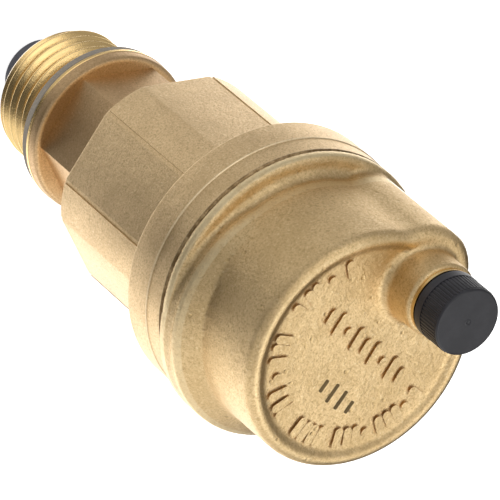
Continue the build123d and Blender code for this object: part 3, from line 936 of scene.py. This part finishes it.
@dataclass
class CastCover:
    """Cast cover with its raised foundry marks and its printed date marks."""

    face_z: float = 71.2
    voxel: float = 0.32
    relief: float = 0.36
    stroke: float = 0.66
    rim_marks_r: float = 13.2
    sunk: float = 0.08
    dot_length: float = 0.1
    pair_half: float = 0.68
    row_start: Point = (0.8, 8.2)
    row_pitch: float = 2.1
    row_turn: float = 12.0
    print_start: Point = (-6.8, 0.9)
    print_pitch: float = 2.05
    print_turn: float = 8.0
    print_lengths: tuple[float, ...] = (2.0, 3.0, 3.0, 2.0)
    print_wide: float = 0.62
    print_thick: float = 0.03
    marks: list[Mark] = field(default_factory=list)

    def build(self, finishes: Finishes) -> bpy.types.Object:
        """Builds the cast surface, the raised marks and the printed marks.

        Args:
            finishes: The vent's finishes.

        Returns:
            The cover.
        """
        cover = self._cast_surface(finishes)
        self._place_marks()
        shape = Shape()
        for mark in self.marks:
            self._raise(shape, mark)
        shape.piece("cover_foundry_marks", finishes.cast, Body.HOUSING,
                    smooth_angle=80.0)
        self._print(finishes)
        return cover

    def _cast_surface(self, finishes: Finishes) -> bpy.types.Object:
        """Remeshes a copy of the cover so that its edges soften as a casting's do.

        Args:
            finishes: The vent's finishes.

        Returns:
            The cover.
        """
        cover = bpy.data.objects.new("cast_cover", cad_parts["cover"].data.copy())
        bpy.context.scene.collection.objects.link(cover)
        remesh = cover.modifiers.new("sand_mould", "REMESH")
        remesh.mode = "VOXEL"
        remesh.voxel_size = self.voxel * MM
        remesh.use_smooth_shade = True
        relax = cover.modifiers.new("soften", "SMOOTH")
        relax.factor = 0.5
        relax.iterations = 2
        graph = bpy.context.evaluated_depsgraph_get()
        data = bpy.data.meshes.new_from_object(cover.evaluated_get(graph))
        cover.modifiers.clear()
        cover.data = data
        data.materials.clear()
        data.materials.append(finishes.cast)
        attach(cover, Body.HOUSING.value)
        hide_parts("cover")
        return cover

    def _place_marks(self) -> None:
        """Lays out the marks: groups round the rim, a row across the middle."""
        for first, last, kinds in RIM_GROUPS:
            for index, kind in enumerate(kinds):
                angle = first + (last - first) * index / (len(kinds) - 1)
                spot = Matrix.Rotation(math.radians(angle), 2) @ Vector((self.rim_marks_r, 0))
                self.marks.append(Mark(kind, spot.x, spot.y, angle))
        for index, length in enumerate(MIDDLE_ROW):
            x, y = self.row_start
            y -= self.row_pitch * index
            self.marks.append(Mark(MarkKind.BAR, x, y, self.row_turn, length))

    def _raise(self, shape: Shape, mark: Mark) -> None:
        """Raises one mark out of the face.

        Args:
            shape: The mesh to add to.
            mark: The mark.
        """
        place = Matrix.Translation((mark.x, mark.y, self.face_z - self.sunk))
        place @= Matrix.Rotation(math.radians(mark.turn), 4, "Z")
        if mark.kind is MarkKind.DOT:
            self._stroke(shape, place, self.dot_length)
        elif mark.kind is MarkKind.BAR:
            self._stroke(shape, place, mark.length)
        else:
            for side in (-self.pair_half, self.pair_half):
                self._stroke(shape, place @ Matrix.Translation((0, side, 0)), mark.length)

    def _stroke(self, shape: Shape, place: Matrix, length: float) -> None:
        """Adds a round-ended stroke with a flared foot and a soft top.

        Args:
            shape: The mesh to add to.
            place: The stroke's middle and direction, along its local X.
            length: Length between the centres of its round ends.
        """
        corners = 20
        foot = bmesh.ops.create_circle(shape.mesh, cap_ends=True, segments=corners,
                                       radius=self.stroke)["verts"]
        for vertex in foot:
            vertex.co.x += math.copysign(length / 2, vertex.co.x)
        top = next(face for face in foot[0].link_faces if len(face.verts) == corners)
        height = self.relief + self.sunk
        for shrink, rise in STROKE_SIDE:
            bmesh.ops.inset_region(shape.mesh, faces=[top], thickness=shrink, depth=0.0,
                                   use_even_offset=True)
            bmesh.ops.translate(shape.mesh, vec=(0, 0, rise * height), verts=top.verts)
        island, fringe = set(foot), set(foot)
        while fringe:
            edges = {edge for vertex in fringe for edge in vertex.link_edges}
            fringe = {vertex for edge in edges for vertex in edge.verts} - island
            island |= fringe
        bmesh.ops.transform(shape.mesh, matrix=place, verts=list(island))

    def _print(self, finishes: Finishes) -> None:
        """Lays four short inked bars on the face, as a date code without numbers.

        Args:
            finishes: The vent's finishes.
        """
        shape = Shape()
        for index, length in enumerate(self.print_lengths):
            x, y = self.print_start
            place = Matrix.Translation((x, y - self.print_pitch * index,
                                        self.face_z + self.print_thick / 2))
            place @= Matrix.Rotation(math.radians(self.print_turn), 4, "Z")
            size = Matrix.Diagonal((length, self.print_wide, self.print_thick, 1.0))
            box = bmesh.ops.create_cube(shape.mesh, size=1.0, matrix=place @ size)["verts"]
            edges = {edge for vertex in box for edge in vertex.link_edges}
            upright = [edge for edge in edges
                       if abs(edge.verts[0].co.z - edge.verts[1].co.z) > self.print_thick / 2]
            bmesh.ops.bevel(shape.mesh, geom=upright, offset=0.2, offset_type="OFFSET",
                            affect="EDGES", segments=3, profile=0.5, material=-1)
        shape.piece("cover_date_marks", finishes.print, Body.HOUSING)


@dataclass
class VentValve:
    """Nozzle, seat and ribbed cap of the vent, with the lever that works it."""

    centre_x: float = 12.0
    cap_top: float = 83.0

    def build(self, finishes: Finishes) -> bpy.types.Object:
        """Adds the moulding mark in the middle of the cap's front.

        Args:
            finishes: The vent's finishes.

        Returns:
            The mark.
        """
        shape = Shape()
        z = self.cap_top
        shape.lathe([(0.05, z - 0.1), (0.55, z - 0.1), (0.5, z + 0.02), (0.3, z + 0.05),
                     (0.22, z + 0.01), (0.05, z + 0.0)], steps=32, centre_x=self.centre_x)
        return shape.piece("cap_gate_mark", finishes.cap, Body.CAP)

    def dress(self, finishes: Finishes) -> None:
        """Dresses the vent valve's pieces.

        Args:
            finishes: The vent's finishes.
        """
        dress("vent_nozzle", finishes.turned)
        dress("vent_cap", finishes.cap)
        for node in ("nozzle_o_ring", "valve_seat", "cap_seal", "plug_pad"):
            dress(node, finishes.rubber)
        for node in ("lever", "valve_plug"):
            dress(node, finishes.white)
        for node in ("lever_pin", "lever_bracket", "bracket_ring", "plug_spring"):
            dress(node, finishes.steel)


# ---- Studio --------------------------------------------------------------------------------------


@dataclass(frozen=True)
class SoftBox:
    """A large soft lamp that points at the vent."""

    name: str
    direction: tuple[float, float, float]
    distance: float
    size: float
    power: float

    def light(self, target: Vector) -> None:
        """Places the lamp at its distance from the target, facing it.

        Args:
            target: The point that it faces.
        """
        lamp = bpy.data.lights.new(self.name, "AREA")
        lamp.shape = "DISK"
        lamp.size = self.size
        lamp.energy = self.power
        made = bpy.data.objects.new(self.name, lamp)
        toward = Vector(self.direction).normalized()
        made.location = target + toward * self.distance
        made.rotation_euler = toward.to_track_quat("Z", "Y").to_euler()
        bpy.context.scene.collection.objects.link(made)


@dataclass(frozen=True)
class Glow:
    """A soft patch of light or dark in the surroundings.

    It lies in a direction, and grows from nothing to its full amount between two cosines of the
    angle from that direction.
    """

    direction: tuple[float, float, float]
    faint: float
    full: float
    amount: float


@dataclass
class Studio:
    """Pale floor, soft light and the camera."""

    floor_size: float = 6.0
    floor_glow: float = 0.8
    lens: float = 360.0
    eye: tuple[float, float, float] = (0.57, 470.2, 545.9)
    right: tuple[float, float, float] = (0.651, -0.555, 0.518)
    back: tuple[float, float, float] = (0.0, 0.682, 0.731)
    lamps: tuple[SoftBox, ...] = (SoftBox("key", (-0.3, -0.5, 0.8), 0.9, 0.7, 1.2),)
    ambient: float = 0.42
    darkest: float = 0.02
    glows: tuple[Glow, ...] = (
        Glow((-0.759, -0.476, 0.444), -0.1, 0.6, 0.62),     # the table in front
        Glow((-0.12, -0.45, -0.885), 0.52, 0.92, 1.3),      # the backdrop behind the vent
        Glow((0.33, 0.72, -0.6), 0.84, 0.95, 0.2),          # a low window
        Glow((0.45, 0.5, 0.75), 0.85, 0.97, 1.0),           # a high window
        Glow((0.5, -0.5, -0.7), 0.90, 0.98, 0.6),           # the right edge
        Glow((-0.72, 0.0, -0.69), 0.85, 0.98, 0.2),         # the left edge
        Glow((0.0, 0.15, 0.985), 0.85, 0.97, 0.2),          # overhead
        Glow((0.0, -1.0, -0.05), 0.70, 0.93, -1.5))         # the dark room beyond
    cards: tuple[Glow, ...] = (
        Glow((-0.58, 0.60, -0.55), 0.84, 0.96, 0.1), Glow((-0.50, 0.45, 0.75), 0.84, 0.96, 0.1))

    def build(self) -> None:
        """Sets the floor, the lamps, the surroundings and the camera."""
        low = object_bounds()[0].z
        self._floor(low)
        target = Vector((0.0, 0.0, 0.035))
        for lamp in self.lamps:
            lamp.light(target)
        self._surroundings()
        self._camera()
        bpy.context.scene.view_settings.view_transform = "Standard"

    def _floor(self, height: float) -> None:
        """Lays a pale floor under the inlet.

        Args:
            height: The floor's height in metres.
        """
        mesh = bmesh.new()
        half = self.floor_size / 2
        bmesh.ops.create_grid(mesh, x_segments=2, y_segments=2, size=half,
                              matrix=Matrix.Translation((0, 0, height)))
        data = bpy.data.meshes.new("floor")
        mesh.to_mesh(data)
        mesh.free()
        recipe = Recipe("floor_paper")
        tone = recipe.mix(recipe.noise(400.0, 2.0, 0.5), (0.90, 0.90, 0.90), (0.93, 0.93, 0.93))
        paper = recipe.finish(tone, 0.9, recipe.bump(recipe.noise(2.0), 0.01), 0.0)
        recipe.shader.inputs["Emission Color"].default_value = (1.0, 1.0, 1.0, 1.0)
        recipe.shader.inputs["Emission Strength"].default_value = self.floor_glow
        data.materials.append(paper)
        floor = bpy.data.objects.new("floor", data)
        floor.visible_glossy = False
        bpy.context.scene.collection.objects.link(floor)
        floor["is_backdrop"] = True

    def _surroundings(self) -> None:
        """Surrounds the vent with soft glows, behind dark cards that let a share through."""
        world = bpy.data.worlds.new("studio")
        bpy.context.scene.world = world
        world.use_nodes = True
        bench = NodeBench(world.node_tree, "Generated")
        level = self.ambient
        for glow in self.glows:
            near = bench.toward(glow.direction)
            here = bench.spread(near, glow.faint, glow.full, 0.0, glow.amount)
            level = bench.sum("ADD", level, here)
        level = bench.sum("MAXIMUM", level, self.darkest)
        for card in self.cards:
            near = bench.toward(card.direction)
            past = bench.spread(near, card.faint, card.full, 1.0, card.amount)
            level = bench.sum("MULTIPLY", level, past)
        shade = bench.tree.nodes.new("ShaderNodeBackground")
        shade.inputs["Color"].default_value = (1.0, 0.985, 0.96, 1.0)
        bench.put(shade.inputs["Strength"], level)
        output = bench.tree.nodes.new("ShaderNodeOutputWorld")
        bench.tree.links.new(shade.outputs[0], output.inputs["Surface"])

    def _camera(self) -> None:
        """Aims a long lens down at the vent, rolled so that it lies across the view."""
        data = bpy.data.cameras.new("camera")
        data.sensor_width = 36.0
        data.lens = self.lens
        data.clip_start = 0.01
        data.clip_end = 20.0
        camera = bpy.data.objects.new("camera", data)
        back = Vector(self.back).normalized()
        right = Vector(self.right)
        right = (right - back * right.dot(back)).normalized()
        up = back.cross(right)
        turn = Matrix((right, up, back)).transposed().to_4x4()
        camera.matrix_world = Matrix.Translation(Vector(self.eye) * MM) @ turn
        bpy.context.scene.collection.objects.link(camera)
        bpy.context.scene.camera = camera


def main() -> None:
    """Builds and dresses each sub-assembly in order."""
    logging.basicConfig(level=logging.INFO, format="%(name)s: %(message)s")
    finishes = Finishes()
    log.info("finishes made")
    Studio().build()
    log.info("studio set")
    inlet = InletFitting()
    log.info("%s built", inlet.build(finishes).name)
    inlet.dress(finishes)
    chamber = FloatChamber()
    log.info("%s built", chamber.build(finishes).name)
    chamber.dress(finishes)
    log.info("%s built", CastCover().build(finishes).name)
    vent = VentValve()
    log.info("%s built", vent.build(finishes).name)
    vent.dress(finishes)
    for spring in (LiveSpring("check_valve_spring", Body.POPPET, -6.9, -2.3),
                   LiveSpring("plug_spring", Body.PLUG, 67.1, 65.95)):
        log.info("%s built", spring.build(finishes).name)


if __name__ == "__main__":
    main()
